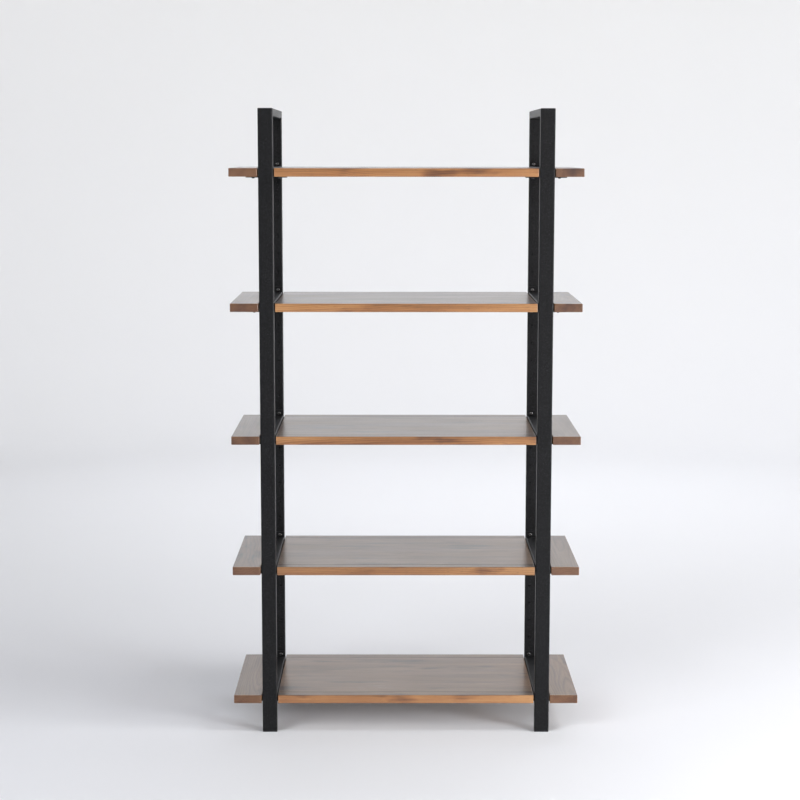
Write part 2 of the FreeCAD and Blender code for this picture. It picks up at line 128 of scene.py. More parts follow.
class Nodes:
    """A material's node tree round one Principled shader, built in small steps."""

    def __init__(self, name: str) -> None:
        """Starts a material that holds a shader and an output.

        Args:
            name: The material's name.
        """
        self.material = bpy.data.materials.new(name)
        self.material.use_nodes = True
        self.tree = self.material.node_tree
        self.tree.nodes.clear()
        self.shader = self.add("ShaderNodeBsdfPrincipled")
        output = self.add("ShaderNodeOutputMaterial")
        self.tree.links.new(self.shader.outputs["BSDF"], output.inputs["Surface"])

    def add(self, kind: str, **settings: object) -> bpy.types.Node:
        """Adds a node.

        Args:
            kind: The node's type.
            settings: Properties to set on it.

        Returns:
            The new node.
        """
        node = self.tree.nodes.new(kind)
        for name, value in settings.items():
            setattr(node, name, value)
        return node

    def feed(self, slot: bpy.types.NodeSocket, value: object) -> None:
        """Links a field or socket into an input, or sets the input's own value.

        Args:
            slot: The input.
            value: A field, an output socket, a number or a colour.
        """
        if isinstance(value, Field):
            value = value.socket
        if isinstance(value, bpy.types.NodeSocket):
            self.tree.links.new(value, slot)
        elif slot.type == "RGBA":
            slot.default_value = (*value, 1.0)
        else:
            slot.default_value = value

    def surface(self, **inputs: object) -> None:
        """Feeds the shader's inputs, named with underscores for spaces."""
        for name, value in inputs.items():
            self.feed(self.shader.inputs[name.replace("_", " ")], value)

    def point(self) -> bpy.types.NodeSocket:
        """The place on the surface, in object coordinates."""
        return self.add("ShaderNodeTexCoord").outputs["Object"]

    def normal(self) -> bpy.types.NodeSocket:
        """The way the surface faces, in object coordinates."""
        return self.add("ShaderNodeTexCoord").outputs["Normal"]

    def mapped(
        self,
        vector: bpy.types.NodeSocket,
        scale: Sequence[float] = (1, 1, 1),
        shift: Sequence[float] = (0, 0, 0),
        turn: float = 0.0,
    ) -> bpy.types.NodeSocket:
        """Scales a place, turns it about z and then shifts it.

        Args:
            vector: The place.
            scale: Factor along each axis.
            shift: Shift after the turn.
            turn: Angle about z in radians.

        Returns:
            The mapped place.
        """
        node = self.add("ShaderNodeMapping")
        self.feed(node.inputs["Vector"], vector)
        node.inputs["Location"].default_value = shift
        node.inputs["Rotation"].default_value = (0, 0, turn)
        node.inputs["Scale"].default_value = scale
        return node.outputs["Vector"]

    def vector(self, operation: str, first: object, second: object) -> bpy.types.NodeSocket:
        """Puts two vectors through a Vector Math node.

        Args:
            operation: The Vector Math node's operation.
            first: The first vector, a socket or three numbers.
            second: The second vector, likewise.

        Returns:
            The resulting vector.
        """
        node = self.add("ShaderNodeVectorMath", operation=operation)
        self.feed(node.inputs[0], first)
        self.feed(node.inputs[1], second)
        return node.outputs["Vector"]

    def length(self, vector: bpy.types.NodeSocket) -> Field:
        """Measures a vector.

        Args:
            vector: The vector.

        Returns:
            Its length as a field.
        """
        node = self.add("ShaderNodeVectorMath", operation="LENGTH")
        self.feed(node.inputs[0], vector)
        return Field(self, node.outputs["Value"])

    def split(self, vector: bpy.types.NodeSocket) -> list[Field]:
        """The three components of a vector."""
        node = self.add("ShaderNodeSeparateXYZ")
        self.feed(node.inputs[0], vector)
        return [Field(self, socket) for socket in node.outputs]

    def joined(self, *parts: Number) -> bpy.types.NodeSocket:
        """Makes a vector.

        Args:
            parts: Its three components.

        Returns:
            The vector.
        """
        node = self.add("ShaderNodeCombineXYZ")
        for slot, value in zip(node.inputs, parts):
            self.feed(slot, value)
        return node.outputs[0]

    def noise(
        self,
        vector: bpy.types.NodeSocket,
        scale: float,
        detail: float = 2.0,
        roughness: float = 0.5,
    ) -> Field:
        """Cloudy noise from 0 to 1.

        Args:
            vector: The place it is read at.
            scale: Clouds per metre of that place.
            detail: Octaves of finer clouds.
            roughness: Share that each finer octave keeps.

        Returns:
            The noise as a field.
        """
        node = self.add("ShaderNodeTexNoise")
        self.feed(node.inputs["Vector"], vector)
        self.feed(node.inputs["Scale"], scale)
        self.feed(node.inputs["Detail"], detail)
        self.feed(node.inputs["Roughness"], roughness)
        return Field(self, node.outputs[0])

    def cells(self, vector: bpy.types.NodeSocket, scale: float) -> bpy.types.Node:
        """Splits space into random cells.

        Args:
            vector: The place they are read at.
            scale: Cells per metre of that place.

        Returns:
            The Voronoi node, for its distance, colour and position.
        """
        node = self.add("ShaderNodeTexVoronoi")
        self.feed(node.inputs["Vector"], vector)
        self.feed(node.inputs["Scale"], scale)
        return node

    def draws(self, vector: bpy.types.NodeSocket) -> bpy.types.NodeSocket:
        """Draws three random numbers from 0 to 1 for each distinct vector.

        Args:
            vector: What the numbers are drawn for.

        Returns:
            The numbers as a colour.
        """
        node = self.add("ShaderNodeTexWhiteNoise", noise_dimensions="3D")
        self.feed(node.inputs["Vector"], vector)
        return node.outputs["Color"]

    def ramp(self, amount: Field, stops: Sequence[tuple[float, Colour]]) -> bpy.types.NodeSocket:
        """Runs a number through a row of colours.

        Args:
            amount: The number, from 0 to 1.
            stops: Places in that range with their colours.

        Returns:
            The colour.
        """
        node = self.add("ShaderNodeValToRGB")
        self.feed(node.inputs[0], amount)
        elements = node.color_ramp.elements
        while len(elements) < len(stops):
            elements.new(1.0)
        for element, (place, colour) in zip(elements, stops):
            element.position = place
            element.color = (*colour, 1.0)
        return node.outputs[0]

    def mixed(
        self, amount: Number, first: Paint, second: Paint, blend: str = "MIX"
    ) -> bpy.types.NodeSocket:
        """Blends two colours.

        Args:
            amount: How much of the second.
            first: The colour underneath.
            second: The colour laid over it.
            blend: The Mix node's blend type.

        Returns:
            The blended colour.
        """
        node = self.add("ShaderNodeMix", data_type="RGBA", blend_type=blend)
        self.feed(node.inputs[0], amount)
        self.feed(node.inputs[6], first)
        self.feed(node.inputs[7], second)
        return node.outputs[2]

    def relief(self, height: Field, depth: float, strength: float = 1.0) -> None:
        """Gives the shader a bumped normal.

        Args:
            height: Height of the surface, from 0 to 1.
            depth: What a height of 1 is in metres.
            strength: Share of the effect.
        """
        node = self.add("ShaderNodeBump")
        self.feed(node.inputs["Strength"], strength)
        self.feed(node.inputs["Distance"], depth)
        self.feed(node.inputs["Height"], height)
        self.feed(self.shader.inputs["Normal"], node.outputs[0])


class Grain(Enum):
    """Which way a board's fibres run, as the turn about z that lays them along x."""

    ALONG_SHELF = 0.0
    FRONT_TO_BACK = -math.pi / 2


@dataclass(frozen=True)
class Hardwood:
    """Lacquered hardwood in three dimensions: growth rings round a pith, fibres, pores and small knots.

    Faces that look up or down are painted darker and bluer than the edges. This painted sheen and shade
    stands for the grey gloss of the lacquered tops at a glancing view.
    The scales count clouds or cells per metre, first along the grain and then across it, and the shares
    weigh each figure in the wood's darkness.
    """

    name: str
    slot: str
    grain: Grain
    staves: int = 1
    pale: Colour = (0.38, 0.200, 0.078)
    middle: Colour = (0.235, 0.102, 0.036)
    deep: Colour = (0.060, 0.023, 0.011)
    # painted sheen and shade: multiplies the faces that look up or down, darker and bluer than the edges
    flat_face_painted_sheen: Colour = (0.46, 0.54, 0.70)
    end_grain: Colour = (0.36, 0.33, 0.36)
    pore_colour: Colour = (0.30, 0.24, 0.22)
    knot_colour: Colour = (0.05, 0.020, 0.010)
    # painted shade in the groove where glued boards meet: its colour, and the width of the darkened band
    seam_shade_colour: Colour = (0.10, 0.09, 0.08)
    seam: float = 0.0026
    ring_gap: float = 0.0042
    knot_radius: float = 0.0085
    pith_beside: float = 0.11
    pith_tip: float = 0.16
    pith_below: tuple[float, float] = (0.014, 0.055)
    ring_sway: float = 0.040
    ring_wobble: float = 0.0024
    knot_swell: float = 0.011
    fibre_scale: Triple = (7, 520, 520)
    patch_scale: Triple = (4.5, 16, 16)
    smear_scale: Triple = (3, 9, 9)
    knot_scale: Triple = (1.6, 7.0, 3.0)
    sway_scale: Triple = (1.3, 7, 7)
    wobble_scale: Triple = (9, 60, 60)
    heart_scale: Triple = (2.6, 16, 16)
    pore_scale: Triple = (75, 1500, 1500)
    streak_scale: Triple = (4, 90, 90)
    late_share: float = 0.20
    figure_share: float = 0.42
    fibre_share: float = 0.42
    patch_share: float = 0.36
    pale_shift: float = 0.09
    pore_depth: float = 0.75
    sheen: float = 0.30
    coat_weight: float = 0.65
    coat_roughness: float = 0.24
    relief_depth: float = 0.00022
    relief_strength: float = 0.55

    def make(
        self, label: str, box: "Box", seed: float, glued: Sequence[int] = (), light: float = 1.0
    ) -> bpy.types.Material:
        """Makes the finish for one board.

        Args:
            label: The board's name.
            box: The board's box.
            seed: A number of the board's own, which picks the log it was cut from.
            glued: The sides that another board is glued to, 1 for the far one and -1 for the near one.
            light: How light the board's wood is beside the usual.

        Returns:
            The material.
        """
        nodes = Nodes(f"{self.name}_{label}")
        turn = self.grain.value
        centre = Matrix.Rotation(turn, 3, "Z") @ Vector((box.low + box.high) / 2)
        board = nodes.mapped(nodes.point(), shift=-centre, turn=turn)
        width = box.size[1 if self.grain is Grain.ALONG_SHELF else 0]
        cut, log = self.cut(nodes, board, width / self.staves, seed)
        knot, push = self.knots(nodes, log)
        late, figure = self.rings(nodes, cut, log, push)
        fibre = nodes.noise(nodes.mapped(log, self.fibre_scale), 1.0, 4.0, 0.62)
        pore = self.pores(nodes, log)
        end = self.end_share(nodes)
        flat = nodes.split(nodes.normal())[2].apply("ABSOLUTE").step(0.75, 0.98)
        patch = nodes.noise(nodes.mapped(log, self.patch_scale), 1.0, 3.0, 0.6).step(0.55, 0.72)
        growth = late * self.late_share + figure * self.figure_share
        tone = growth + fibre * self.fibre_share + patch * self.patch_share - self.pale_shift
        colour = nodes.ramp(tone, ((0.12, self.pale), (0.48, self.middle), (0.88, self.deep)))
        colour = nodes.mixed(pore * self.pore_depth, colour, self.pore_colour, "MULTIPLY")
        colour = nodes.mixed(knot, colour, self.knot_colour)
        colour = nodes.mixed(end, colour, self.end_grain, "MULTIPLY")
        # painted sheen and shade on the faces that look up or down, standing for their grey gloss at a
        # glancing view
        colour = nodes.mixed(flat, colour, self.flat_face_painted_sheen, "MULTIPLY")
        colour = nodes.mixed(1.0, colour, (light, light, light), "MULTIPLY")
        # painted shade in the groove along each glued side, darkening the rounded edge where shadow falls
        across = nodes.split(board)[1]
        for side in glued:
            seam = (across * side).step(width / 2 - self.seam, width / 2 - self.seam * 0.4)
            colour = nodes.mixed(seam, colour, self.seam_shade_colour, "MULTIPLY")
        smear = nodes.noise(nodes.mapped(board, self.smear_scale), 1.0, 3.0)
        nodes.surface(
            Base_Color=colour,
            Roughness=smear * 0.16 + fibre * 0.10 + end * 0.14 + (self.sheen - 0.12),
            Specular_IOR_Level=0.42,
            Coat_Weight=self.coat_weight,
            Coat_Roughness=self.coat_roughness,
            Coat_IOR=1.45,
        )
        height = fibre * 0.5 - pore * 0.7 - late * 0.25 - knot * 0.3 + 1.0
        nodes.relief(height, self.relief_depth, self.relief_strength)
        return nodes.material

    def cut(
        self, nodes: Nodes, board: bpy.types.NodeSocket, stave: float, seed: float
    ) -> tuple[bpy.types.NodeSocket, bpy.types.NodeSocket]:
        """Finds where in its log each point of the board was.

        The stave's number and the board's seed draw three random numbers. They place the pith beside
        and below the stave and tip it along the grain, and they shift the whole stave to a stretch of
        noise that no other stave reads.

        Args:
            nodes: The tree.
            board: The place from the board's centre, fibres along x.
            stave: Width of a stave.
            seed: The board's own number.

        Returns:
            The place from the pith, and the place in the log.
        """
        along, across, through = nodes.split(board)
        odd = self.staves % 2
        number = (across / stave + odd / 2).apply("FLOOR")
        draw = nodes.draws(nodes.joined(number, seed, seed * 0.37))
        beside, below, tip = nodes.split(draw)
        middle = (number + (1 - odd) / 2) * stave
        drift = (tip - 0.5) * along * self.pith_tip
        side = across - middle + (beside - 0.5) * self.pith_beside + drift
        least, spread = self.pith_below
        depth = through + below * spread + least
        log = nodes.vector("ADD", board, nodes.vector("MULTIPLY", draw, (5.0, 7.0, 6.0)))
        return nodes.joined(0.0, side, depth), log

    def knots(self, nodes: Nodes, log: bpy.types.NodeSocket) -> tuple[Field, Field]:
        """Scatters small knots, each an oval stretched along the grain, in some cells of the log.

        Args:
            nodes: The tree.
            log: The place in the log.

        Returns:
            How far a point lies inside a knot, and how far the rings swell round it, in metres.
        """
        along, across, through = self.knot_scale
        place = nodes.mapped(log, self.knot_scale)
        cells = nodes.cells(place, 1.0)
        away = nodes.vector("SUBTRACT", place, cells.outputs["Position"])
        oval = nodes.vector("DIVIDE", away, (along * 1.8, across, through * 3.0))
        reach = nodes.length(oval) / self.knot_radius
        kept = nodes.split(cells.outputs["Color"])[0].step(0.50, 0.54)
        knot = reach.step(0.25, 0.95, 1.0, 0.0) * kept
        push = (reach * reach * 0.12 + 1.0).apply("POWER", -1.0) * kept * self.knot_swell
        return knot, push

    def rings(
        self, nodes: Nodes, cut: bpy.types.NodeSocket, log: bpy.types.NodeSocket, push: Field
    ) -> tuple[Field, Field]:
        """Growth rings: the distance from the pith, swayed by noise and counted in ring gaps.

        Args:
            nodes: The tree.
            cut: The place from the pith.
            log: The place in the log.
            push: How far knots swell the rings.

        Returns:
            The dark late wood of each ring, and the broad streaks of heartwood.
        """
        sway = nodes.noise(nodes.mapped(log, self.sway_scale), 1.0, 2.0) - 0.5
        wobble = nodes.noise(nodes.mapped(log, self.wobble_scale), 1.0, 2.0) - 0.5
        radius = nodes.length(cut) + sway * self.ring_sway + wobble * self.ring_wobble + push
        turn = (radius / self.ring_gap).apply("FRACT")
        late = turn.step(0.35, 0.86) * turn.step(0.90, 1.0, 1.0, 0.0)
        heart = nodes.noise(nodes.mapped(log, self.heart_scale), 1.0, 3.0, 0.55).step(0.30, 0.72)
        band = nodes.noise(nodes.joined(radius * 70.0, 0.0, 0.0), 1.0, 3.0).step(0.30, 0.72)
        return late, heart * 0.65 + band * 0.35

    def pores(self, nodes: Nodes, log: bpy.types.NodeSocket) -> Field:
        """Open pores: the crests of a noise drawn out along the grain, thicker in some streaks.

        Args:
            nodes: The tree.
            log: The place in the log.

        Returns:
            How far a point lies inside a pore.
        """
        fine = nodes.noise(nodes.mapped(log, self.pore_scale), 1.0, 1.0)
        streaks = nodes.noise(nodes.mapped(log, self.streak_scale), 1.0, 1.0)
        streak = streaks.step(0.35, 0.65, 0.35, 1.0)
        return fine.step(0.60, 0.72) * streak

    def end_share(self, nodes: Nodes) -> Field:
        """How far a face looks along the fibres, which shows their cut ends."""
        axis = 0 if self.grain is Grain.ALONG_SHELF else 1
        return nodes.split(nodes.normal())[axis].apply("ABSOLUTE").step(0.55, 0.90)


@dataclass(frozen=True)
class PowderCoat:
    """Charcoal powder coat baked on steel: a fine orange-peel skin, mottled, with paler specks.

    The scales count clouds or cells per metre.
    """

    name: str = "charcoal_powder_coat"
    slot: str = "frame_paint"
    dark: Colour = (0.0015, 0.0016, 0.0018)
    light: Colour = (0.0080, 0.0083, 0.0090)
    speck: Colour = (0.060, 0.060, 0.063)
    roughness: float = 0.46
    mottle_scale: float = 210.0
    cloud_scale: float = 9.0
    peel_scale: float = 900.0
    speck_scale: float = 330.0
    rub_scale: Triple = (30, 30, 7)
    specular: float = 0.13
    coat_weight: float = 0.30
    coat_roughness: float = 0.26
    coat_ior: float = 1.30
    relief_depth: float = 0.00035

    def make(self) -> bpy.types.Material:
        """Makes the finish.

        Returns:
            The material.
        """
        nodes = Nodes(self.name)
        point = nodes.point()
        mottle = nodes.noise(point, self.mottle_scale, 3.0, 0.65)
        cloud = nodes.noise(point, self.cloud_scale, 3.0, 0.55)
        peel = nodes.noise(point, self.peel_scale, 2.0, 0.5)
        cells = nodes.cells(point, self.speck_scale)
        chosen = nodes.split(cells.outputs["Color"])[0].step(0.70, 0.80)
        speck = Field(nodes, cells.outputs["Distance"]).step(0.10, 0.34, 1.0, 0.0) * chosen
        rub = nodes.noise(nodes.mapped(point, self.rub_scale), 1.0, 5.0, 0.7).step(0.60, 0.74)
        tone = mottle.step(0.34, 0.68) * 0.75 + cloud * 0.30
        colour = nodes.mixed(tone, self.dark, self.light)
        colour = nodes.mixed(speck * 0.55, colour, self.speck)
        nodes.surface(
            Base_Color=colour,
            Roughness=mottle * 0.18 + cloud * 0.08 - rub * 0.07 + (self.roughness - 0.12),
            Specular_IOR_Level=self.specular,
            Coat_Weight=self.coat_weight,
            Coat_Roughness=self.coat_roughness,
            Coat_IOR=self.coat_ior,
        )
        nodes.relief(peel * 0.45 + mottle * 0.55 + speck * 0.35, self.relief_depth, 0.55)
        return nodes.material


@dataclass(frozen=True)
class PlatedSteel:
    """Turned steel with a plated skin: lathe marks, a clouded polish and dull spots."""

    name: str
    slot: str
    bright: Colour
    dull: Colour
    roughness: float
    cloud_scale: float = 260.0
    spot_scale: float = 900.0
    lathe_scale: Triple = (300, 4200, 300)
    relief_depth: float = 0.00006

    def make(self) -> bpy.types.Material:
        """Makes the finish.

        Returns:
            The material.
        """
        nodes = Nodes(self.name)
        point = nodes.point()
        cloud = nodes.noise(point, self.cloud_scale, 4.0, 0.6)
        spots = nodes.noise(point, self.spot_scale, 2.0).step(0.55, 0.75)
        lathe = nodes.noise(nodes.mapped(point, self.lathe_scale), 1.0, 1.0)
        nodes.surface(
            Base_Color=nodes.mixed(cloud * 0.6 + spots * 0.4, self.bright, self.dull),
            Metallic=1.0,
            Roughness=cloud * 0.20 + spots * 0.12 + (self.roughness - 0.10),
        )
        nodes.relief(lathe * 0.6 + spots * 0.4, self.relief_depth, 0.5)
        return nodes.material


@dataclass(frozen=True)
class MouldedPlastic:
    """Black moulded plastic with a spark-eroded grain and scuffs."""

    name: str = "foot_cap_plastic"
    slot: str = "foot_plastic"
    dark: Colour = (0.010, 0.010, 0.011)
    scuffed: Colour = (0.045, 0.045, 0.046)
    roughness: float = 0.48
    grain_scale: float = 1500.0
    scuff_scale: Triple = (90, 90, 260)
    relief_depth: float = 0.00012

    def make(self) -> bpy.types.Material:
        """Makes the finish.

        Returns:
            The material.
        """
        nodes = Nodes(self.name)
        point = nodes.point()
        grain = nodes.noise(point, self.grain_scale, 2.0)
        scuff = nodes.noise(nodes.mapped(point, self.scuff_scale), 1.0, 4.0, 0.7).step(0.56, 0.72)
        nodes.surface(
            Base_Color=nodes.mixed(scuff * 0.7 + grain * 0.1, self.dark, self.scuffed),
            Roughness=grain * 0.15 + scuff * 0.15 + self.roughness,
            Specular_IOR_Level=0.45,
        )
        nodes.relief(grain * 0.8 + scuff * 0.2, self.relief_depth, 0.6)
        return nodes.material


@dataclass(frozen=True)
class StudioPaint:
    """Matt off-white paint of the studio. Painted shade turns it grey towards the front of the room,
    standing for the unlit room before the camera.
    """

    name: str = "studio_paint"
    white: Colour = (0.800, 0.806, 0.826)
    shade: Colour = (0.785, 0.792, 0.812)
    # painted shade: the grey that the front of the room turns to, over the fade span in y below
    painted_front_shade: Colour = (0.60, 0.605, 0.620)
    cloud_scale: float = 1.3
    fade: tuple[float, float] = (-4.2, -1.8)
    roughness: float = 0.75

    def make(self) -> bpy.types.Material:
        """Makes the finish.

        Returns:
            The material.
        """
        nodes = Nodes(self.name)
        cloud = nodes.noise(nodes.point(), self.cloud_scale, 4.0)
        # painted shade: the share of grey rises towards the front of the room
        front_shade_share = nodes.split(nodes.point())[1].step(*self.fade, 1.0, 0.0)
        paint = nodes.mixed(cloud, self.white, self.shade)
        nodes.surface(
            Base_Color=nodes.mixed(front_shade_share, paint, self.painted_front_shade),
            Roughness=cloud * 0.1 + self.roughness,
            Specular_IOR_Level=0.2,
        )
        return nodes.material


@dataclass
class Box:
    """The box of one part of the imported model."""

    low: np.ndarray
    high: np.ndarray

    @classmethod
    def of(cls, node: str) -> "Box":
        """Reads the box of a node."""
        low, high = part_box(node)
        return cls(np.array(low), np.array(high))

    @property
    def size(self) -> np.ndarray:
        """Length along each axis."""
        return self.high - self.low


def skin_rings(
    rings: np.ndarray, start: np.ndarray, end: Union[np.ndarray, None] = None
) -> tuple[np.ndarray, list[list[int]]]:
    """Skins a row of closed rings with quads, and closes its ends with fans of triangles.

    Args:
        rings: The points by ring, place on the ring and axis.
        start: The point that the fan of the first ring meets in.
        end: The same for the last ring, or None to leave that ring open.

    Returns:
        The points, and the faces as rows of point numbers.
    """
    rows, around = rings.shape[:2]
    number = 1 + np.arange(rows * around).reshape(rows, around)
    ahead = np.roll(number, -1, axis=1)
    faces = np.stack([number[:-1], number[1:], ahead[1:], ahead[:-1]], -1).reshape(-1, 4).tolist()
    faces += np.stack([0 * number[0], number[0], ahead[0]], -1).tolist()
    points = np.concatenate([[start], rings.reshape(-1, 3)])
    if end is not None:
        faces += np.stack([0 * number[-1] + len(points), ahead[-1], number[-1]], -1).tolist()
        points = np.concatenate([points, [end]])
    return points, faces


def make_piece(name: str, points: np.ndarray, faces: list[list[int]]) -> bpy.types.Object:
    """Makes a smooth mesh object whose place is in its mesh.

    Args:
        name: The piece's name.
        points: Its vertices, one row each.
        faces: Its faces, one row of vertex numbers each.

    Returns:
        The object, linked to the scene.
    """
    mesh = bpy.data.meshes.new(name)
    mesh.from_pydata(points.tolist(), [], faces)
    mesh.polygons.foreach_set("use_smooth", np.ones(len(faces), bool))
    mesh.update()
    piece = bpy.data.objects.new(name, mesh)
    bpy.context.scene.collection.objects.link(piece)
    return piece


def dress(piece: bpy.types.Object, material: bpy.types.Material) -> None:
    """Gives every material slot of a piece the finish, and a slot to a piece that has none.

    Args:
        piece: The piece.
        material: The finish.
    """
    if not piece.material_slots:
        piece.data.materials.append(material)
    for slot in piece.material_slots:
        slot.material = material


def finish_piece(piece: bpy.types.Object, material: bpy.types.Material) -> None:
    """Dresses one piece and reports it.

    Args:
        piece: The piece.
        material: The finish.
    """
    dress(piece, material)
    LOG.info("%s: %d faces in %s", piece.name, len(piece.data.polygons), material.name)


@dataclass
class Slab:
    """A board as a rounded box whose eased edges and top face wander as hand work does.

    The edge radius swells and shrinks by the share edge_wander, and the top rises and falls by crown.
    """

    box: Box
    seed: int
    edge_radius: float = 0.0016
    spacing: float = 0.006
    hold: float = 0.0012
    edge_wander: float = 0.35
    crown: float = 0.00016
    arc_steps: int = 4
    waves: int = 6
    edge_wave: float = 0.16
    top_wave: float = 0.35

    def lines(self, axis: int) -> np.ndarray:
        """Grid lines along an axis: even over the flat, and at equal angles round each edge.

        On the plain box a line that ends at an angle t of the edge lies tan(t) radii past the flat.

        Args:
            axis: The axis.

        Returns:
            The lines' places in rising order.
        """
        flat_low = self.box.low[axis] + self.edge_radius
        flat_high = self.box.high[axis] - self.edge_radius
        count = max(3, int((flat_high - flat_low) / self.spacing))
        flat = np.linspace(flat_low + self.hold, flat_high - self.hold, count)
        arc = self.edge_radius * np.tan(np.linspace(0, math.pi / 4, self.arc_steps + 1))
        return np.concatenate([flat_low - arc[::-1], flat, flat_high + arc])

    def side(self, axis: int, far: bool, counts: list[int]) -> np.ndarray:
        """The faces of one side of the box, as lattice numbers, wound to face outwards.

        Args:
            axis: The axis that the side faces along.
            far: True for the side at the high end.
            counts: Number of lattice lines along each axis.

        Returns:
            One row of four lattice numbers per face.
        """
        spans = [np.arange(count) for count in counts]
        spans[axis] = np.array([counts[axis] - 1 if far else 0])
        grid = np.squeeze(np.ravel_multi_index(np.meshgrid(*spans, indexing="ij"), counts))
        corners = (grid[:-1, :-1], grid[1:, :-1], grid[1:, 1:], grid[:-1, 1:])
        quads = np.stack(corners, -1).reshape(-1, 4)
        return quads if far != (axis == 1) else quads[:, ::-1]

    def wave(self, points: np.ndarray, length: float, rng: np.random.Generator) -> np.ndarray:
        """A smooth random height from -1 to 1: the mean of sines of random direction and phase.

        Args:
            points: The points, one row each.
            length: The waves' usual length.
            rng: Where the directions and phases are drawn.

        Returns:
            One height per point.
        """
        ways = rng.normal(size=(3, self.waves)) * (2 * math.pi / length)
        phases = rng.uniform(0, 2 * math.pi, self.waves)
        return np.sin(points @ ways + phases).mean(axis=1)

    def surface(self) -> tuple[np.ndarray, list[list[int]]]:
        """Works out the slab.

        A lattice covers the six sides of the plain box. Each point q is drawn back to the core box c,
        which lies one edge radius inside, and set out again at the edge radius along q - c. The radius
        wanders along the board, and the height wanders in proportion to how high the point lies.

        Returns:
            The points, and the faces as rows of point numbers.
        """
        rng = np.random.default_rng(self.seed)
        lines = [self.lines(axis) for axis in range(3)]
        counts = [len(line) for line in lines]
        sides = [self.side(axis, far, counts) for axis in range(3) for far in (False, True)]
        used, faces = np.unique(np.concatenate(sides), return_inverse=True)
        index = np.unravel_index(used, counts)
        plain = np.stack([line[at] for line, at in zip(lines, index)], axis=1)
        wander = self.wave(plain, self.edge_wave, rng)[:, None]
        radius = self.edge_radius * (1 + self.edge_wander * wander)
        core = np.clip(plain, self.box.low + radius, self.box.high - radius)
        away = plain - core
        points = core + radius * away / np.linalg.norm(away, axis=1, keepdims=True)
        rise = (points[:, 2] - self.box.low[2]) / self.box.size[2]
        points[:, 2] += self.crown * rise * (self.wave(points, self.top_wave, rng) - 0.5)
        return points, faces.reshape(-1, 4).tolist()


class BoardKind(Enum):
    """The five boards of a shelf, by the end of their name in the model."""

    CENTRE = "centre_panel"
    FRONT = "front_strip"
    REAR = "rear_strip"
    LEFT_WING = "left_wing"
    RIGHT_WING = "right_wing"


PANEL_WOOD = Hardwood("panel_hardwood", "panel_wood", Grain.ALONG_SHELF, staves=4)
STRIP_WOOD = Hardwood("strip_hardwood", "strip_wood", Grain.ALONG_SHELF)
WING_WOOD = Hardwood("wing_hardwood", "wing_wood", Grain.FRONT_TO_BACK)
BOARD_WOOD = {
    BoardKind.CENTRE: PANEL_WOOD,
    BoardKind.FRONT: STRIP_WOOD,
    BoardKind.REAR: STRIP_WOOD,
    BoardKind.LEFT_WING: WING_WOOD,
    BoardKind.RIGHT_WING: WING_WOOD,
}
# -1 for the front side and 1 for the rear side
GLUED_SIDES = {BoardKind.CENTRE: (-1, 1), BoardKind.FRONT: (1,), BoardKind.REAR: (-1,)}
# how light a shelf's wood is beside the usual, and the range of the boards' own lightness
SHELF_LIGHT = {1: 1.06, 2: 0.92, 3: 0.93, 4: 0.95, 5: 1.05}
BOARD_LIGHT = (0.88, 1.10)


@dataclass
class Metalwork:
    """The finishes of the metal and plastic parts, each made once for the whole bookcase."""

    coat: bpy.types.Material = field(default_factory=lambda: PowderCoat().make())
    plastic: bpy.types.Material = field(default_factory=lambda: MouldedPlastic().make())
    stud: bpy.types.Material = field(
        default_factory=lambda: PlatedSteel(
            "dulled_zinc_stud", "stud_steel", (0.20, 0.20, 0.195), (0.07, 0.07, 0.07), 0.24
        ).make()
    )
    screw: bpy.types.Material = field(
        default_factory=lambda: PlatedSteel(
            "blacked_screw", "screw_steel", (0.10, 0.10, 0.105), (0.035, 0.035, 0.037), 0.42
        ).make()
    )


@dataclass
class WeldBead:
    """A rippled weld along x, in the corner between a post and the rail across its top.

    The bead is a rod laid in the corner, three quarters of it sunk in the steel.
    """

    start: np.ndarray
    end: np.ndarray
    radius: float = 0.0030
    ripple: float = 0.10
    pitch: float = 0.0021
    wander: float = 0.12
    around: int = 20
    along: int = 120
    lag: float = 0.25
    bluntness: int = 12

    def surface(self, seed: int) -> tuple[np.ndarray, list[list[int]]]:
        """Works out the bead.

        At a share t of its length the rod has a radius that wanders, dips once per ripple in crescents
        (the dip comes later towards the middle of the bead's face) and closes to nothing at both ends
        as the root of 1 - (2t - 1) to the power of its bluntness.

        Args:
            seed: Seed of the wandering.

        Returns:
            The points, and the faces as rows of point numbers.
        """
        rng = np.random.default_rng(seed)
        share = np.linspace(0.0, 1.0, self.along + 2)[1:-1, None]
        angle = np.linspace(0.0, 2 * math.pi, self.around, endpoint=False)[None, :]
        length = float(np.linalg.norm(self.end - self.start))
        crescent = self.lag * np.cos(angle - math.pi / 4)
        phase = 2 * math.pi * (share * length / self.pitch + crescent)
        slow = np.sin(2 * math.pi * share * rng.uniform(1.2, 2.4) + rng.uniform(0, 2 * math.pi))
        close = np.sqrt(1 - (2 * share - 1) ** self.bluntness)
        radius = self.radius * close * (1 + self.ripple * np.sin(phase) + self.wander * slow)
        axis = self.start + share[:, :, None] * (self.end - self.start)
        across = np.stack([0 * angle, np.cos(angle), -np.sin(angle)], -1)
        return skin_rings(axis + radius[:, :, None] * across, self.start, self.end)


